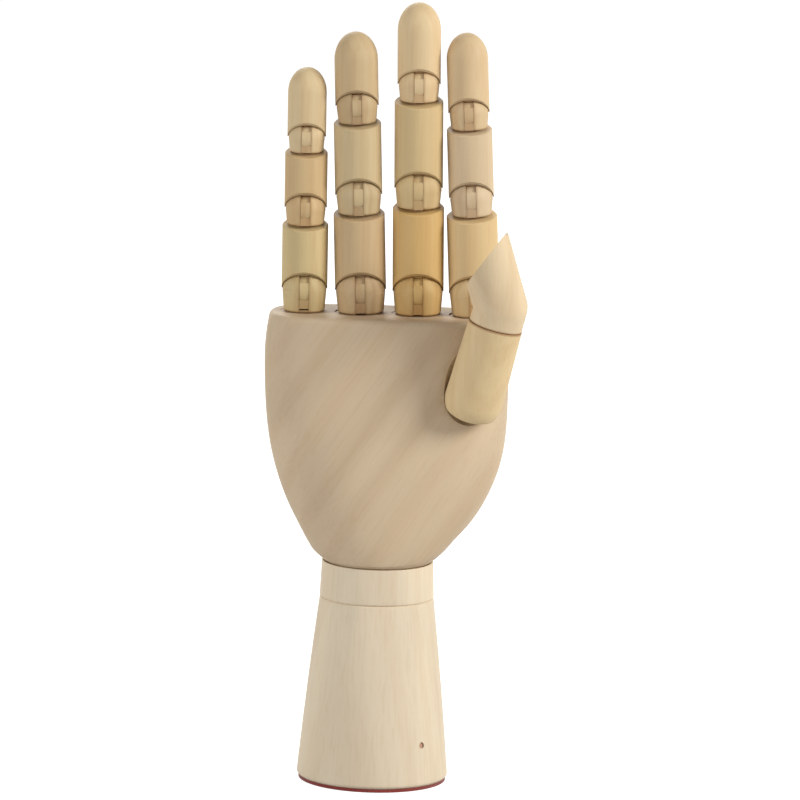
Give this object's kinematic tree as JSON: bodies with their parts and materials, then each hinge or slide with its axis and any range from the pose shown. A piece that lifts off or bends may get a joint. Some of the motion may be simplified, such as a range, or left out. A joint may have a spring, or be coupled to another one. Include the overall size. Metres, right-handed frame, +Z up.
{
  "type": "wooden hand mannequin",
  "caption": "Jointed wooden right hand on a turned forearm, with fingers, thumb and wrist that hold a pose.",
  "frame": {"origin": "centre of the base's underside", "axes": "+Z up along the forearm to the fingertips, +X to the thumb side, -Y the palm side"},
  "size_m": [0.0994, 0.0777, 0.3005],
  "materials": {
    "wood_palm": "unvarnished sanded hardwood, pinkish beige",
    "wood_cream": "unvarnished sanded hardwood, pale cream",
    "wood_finger": "unvarnished sanded hardwood, golden",
    "wood_plug": "filled end grain, pinkish brown",
    "felt_red": "dark red felt",
    "steel": "plain steel wire"
  },
  "bodies": {
    "forearm": {"forearm": "wood_cream", "base_felt": "felt_red", "anchor_pin": "wood_plug", "wrist_spring": "steel", "spring_cap": "steel"},
    "collar": {"collar": "wood_cream", "swivel_hook": "steel"},
    "wrist_link": {"link_ring": "steel"},
    "palm": {"palm": "wood_palm", "screw_eye": "steel"},
    "little_base": {"little_base_knuckle": "wood_finger", "little_base_pin": "steel"},
    "little_proximal": {"little_proximal": "wood_finger", "little_middle_knuckle": "wood_finger", "little_middle_pin": "steel"},
    "little_intermediate": {"little_intermediate": "wood_finger", "little_tip_knuckle": "wood_finger", "little_tip_pin": "steel"},
    "little_distal": {"little_distal": "wood_finger"},
    "ring_base": {"ring_base_knuckle": "wood_finger", "ring_base_pin": "steel"},
    "ring_proximal": {"ring_proximal": "wood_finger", "ring_middle_knuckle": "wood_finger", "ring_middle_pin": "steel"},
    "ring_intermediate": {"ring_intermediate": "wood_finger", "ring_tip_knuckle": "wood_finger", "ring_tip_pin": "steel"},
    "ring_distal": {"ring_distal": "wood_finger"},
    "middle_base": {"middle_base_knuckle": "wood_finger", "middle_base_pin": "steel"},
    "middle_proximal": {"middle_proximal": "wood_finger", "middle_middle_knuckle": "wood_finger", "middle_middle_pin": "steel"},
    "middle_intermediate": {"middle_intermediate": "wood_finger", "middle_tip_knuckle": "wood_finger", "middle_tip_pin": "steel"},
    "middle_distal": {"middle_distal": "wood_finger"},
    "index_base": {"index_base_knuckle": "wood_finger", "index_base_pin": "steel"},
    "index_proximal": {"index_proximal": "wood_finger", "index_middle_knuckle": "wood_finger", "index_middle_pin": "steel"},
    "index_intermediate": {"index_intermediate": "wood_finger", "index_tip_knuckle": "wood_finger", "index_tip_pin": "steel"},
    "index_distal": {"index_distal": "wood_finger"},
    "thumb_root": {"thumb_root": "wood_palm"},
    "thumb_proximal": {"thumb_proximal": "wood_finger", "thumb_root_pin": "steel", "thumb_knuckle": "wood_finger", "thumb_pin": "steel"},
    "thumb_distal": {"thumb_distal": "wood_finger"}
  },
  "joints": [
    {"name": "collar_swivel", "type": "hinge", "parent": "forearm", "child": "collar", "pos_m": [0, 0, 0.071], "axis": [0, 0, 1], "continuous": true},
    {"name": "wrist_sway", "type": "hinge", "parent": "collar", "child": "wrist_link", "pos_m": [0, 0, 0.11367], "axis": [0, 1, 0], "range_deg": [-10, 10]},
    {"name": "wrist_bend", "type": "hinge", "parent": "wrist_link", "child": "palm", "pos_m": [0, 0, 0.11367], "axis": [1, 0, 0], "range_deg": [-15, 15]},
    {"name": "little_spread", "type": "hinge", "parent": "palm", "child": "little_base", "pos_m": [-0.03065, 0, 0.181], "axis": [0.0105, 0, -0.9999], "range_deg": [-15, 15]},
    {"name": "little_base_bend", "type": "hinge", "parent": "little_base", "child": "little_proximal", "pos_m": [-0.03074, 0, 0.1897], "axis": [0.9999, 0, 0.0105], "range_deg": [0, 70]},
    {"name": "little_middle_bend", "type": "hinge", "parent": "little_proximal", "child": "little_intermediate", "pos_m": [-0.03107, 0, 0.2208], "axis": [0.9999, 0, 0.0105], "range_deg": [0, 70]},
    {"name": "little_tip_bend", "type": "hinge", "parent": "little_intermediate", "child": "little_distal", "pos_m": [-0.03135, 0, 0.248], "axis": [0.9999, 0, 0.0105], "range_deg": [0, 70]},
    {"name": "ring_spread", "type": "hinge", "parent": "palm", "child": "ring_base", "pos_m": [-0.00895, 0, 0.181], "axis": [0.0454, 0, -0.999], "range_deg": [-15, 15]},
    {"name": "ring_base_bend", "type": "hinge", "parent": "ring_base", "child": "ring_proximal", "pos_m": [-0.00934, 0, 0.18969], "axis": [0.999, 0, 0.0454], "range_deg": [0, 70]},
    {"name": "ring_middle_bend", "type": "hinge", "parent": "ring_proximal", "child": "ring_intermediate", "pos_m": [-0.011, 0, 0.22625], "axis": [0.999, 0, 0.0454], "range_deg": [0, 70]},
    {"name": "ring_tip_bend", "type": "hinge", "parent": "ring_intermediate", "child": "ring_distal", "pos_m": [-0.01256, 0, 0.26042], "axis": [0.999, 0, 0.0454], "range_deg": [0, 70]},
    {"name": "middle_spread", "type": "hinge", "parent": "palm", "child": "middle_base", "pos_m": [0.01275, 0, 0.181], "axis": [0.0227, 0, -0.9997], "range_deg": [-15, 15]},
    {"name": "middle_base_bend", "type": "hinge", "parent": "middle_base", "child": "middle_proximal", "pos_m": [0.01255, 0, 0.1897], "axis": [0.9997, 0, 0.0227], "range_deg": [0, 70]},
    {"name": "middle_middle_bend", "type": "hinge", "parent": "middle_proximal", "child": "middle_intermediate", "pos_m": [0.01165, 0, 0.22939], "axis": [0.9997, 0, 0.0227], "range_deg": [0, 70]},
    {"name": "middle_tip_bend", "type": "hinge", "parent": "middle_intermediate", "child": "middle_distal", "pos_m": [0.01075, 0, 0.26928], "axis": [0.9997, 0, 0.0227], "range_deg": [0, 70]},
    {"name": "index_spread", "type": "hinge", "parent": "palm", "child": "index_base", "pos_m": [0.03445, 0, 0.181], "axis": [0.0576, 0, -0.9983], "range_deg": [-15, 15]},
    {"name": "index_base_bend", "type": "hinge", "parent": "index_base", "child": "index_proximal", "pos_m": [0.03395, 0, 0.18969], "axis": [0.9983, 0, 0.0576], "range_deg": [0, 45]},
    {"name": "index_middle_bend", "type": "hinge", "parent": "index_proximal", "child": "index_intermediate", "pos_m": [0.03184, 0, 0.22632], "axis": [0.9983, 0, 0.0576], "range_deg": [0, 70]},
    {"name": "index_tip_bend", "type": "hinge", "parent": "index_intermediate", "child": "index_distal", "pos_m": [0.02996, 0, 0.25887], "axis": [0.9983, 0, 0.0576], "range_deg": [0, 70]},
    {"name": "thumb_swing", "type": "hinge", "parent": "palm", "child": "thumb_root", "pos_m": [0.035, -0.022, 0.1525], "axis": [-0.5, 0.866, 0], "range_deg": [-25, 40]},
    {"name": "thumb_lift", "type": "hinge", "parent": "thumb_root", "child": "thumb_proximal", "pos_m": [0.035, -0.022, 0.1525], "axis": [0.8639, 0.4988, -0.07], "range_deg": [0, 50]},
    {"name": "thumb_tip_bend", "type": "hinge", "parent": "thumb_proximal", "child": "thumb_distal", "pos_m": [0.04393, -0.03225, 0.18969], "axis": [0.9724, 0, -0.2334], "range_deg": [-50, 0]}
  ]
}
